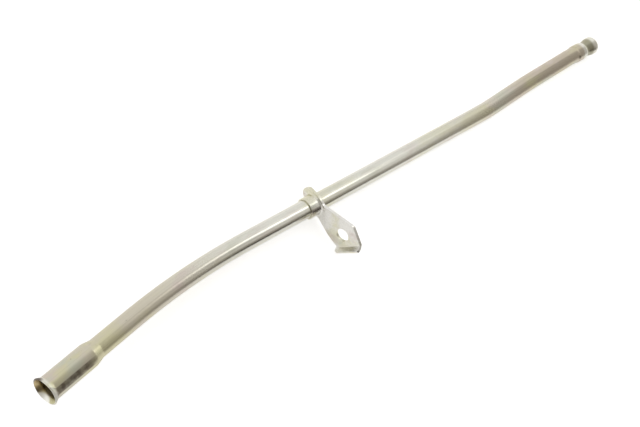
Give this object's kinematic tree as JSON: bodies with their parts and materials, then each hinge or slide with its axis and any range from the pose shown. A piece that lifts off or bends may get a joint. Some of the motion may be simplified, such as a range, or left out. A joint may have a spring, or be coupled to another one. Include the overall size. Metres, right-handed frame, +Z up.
{
  "type": "oil dipstick tube",
  "caption": "Long slightly bent steel guide tube for an engine oil dipstick, with a swaged flared socket, a beaded block end and a brazed sheet-metal bolt bracket.",
  "frame": {"origin": "bottom centre of the part's box, on the surface it lies on", "axes": "+X along the tube from the dipstick socket to the block end, +Y towards the bracket's ear, +Z up"},
  "size_m": [0.4892, 0.0534, 0.0309],
  "materials": {
    "plated_tube": "zinc plate with a faint yellow passivate, satin to bright",
    "plated_sheet": "zinc plate with a faint yellow passivate, satin"
  },
  "bodies": {
    "root": {"guide_tube": "plated_tube", "bracket": "plated_sheet"}
  },
  "joints": []
}
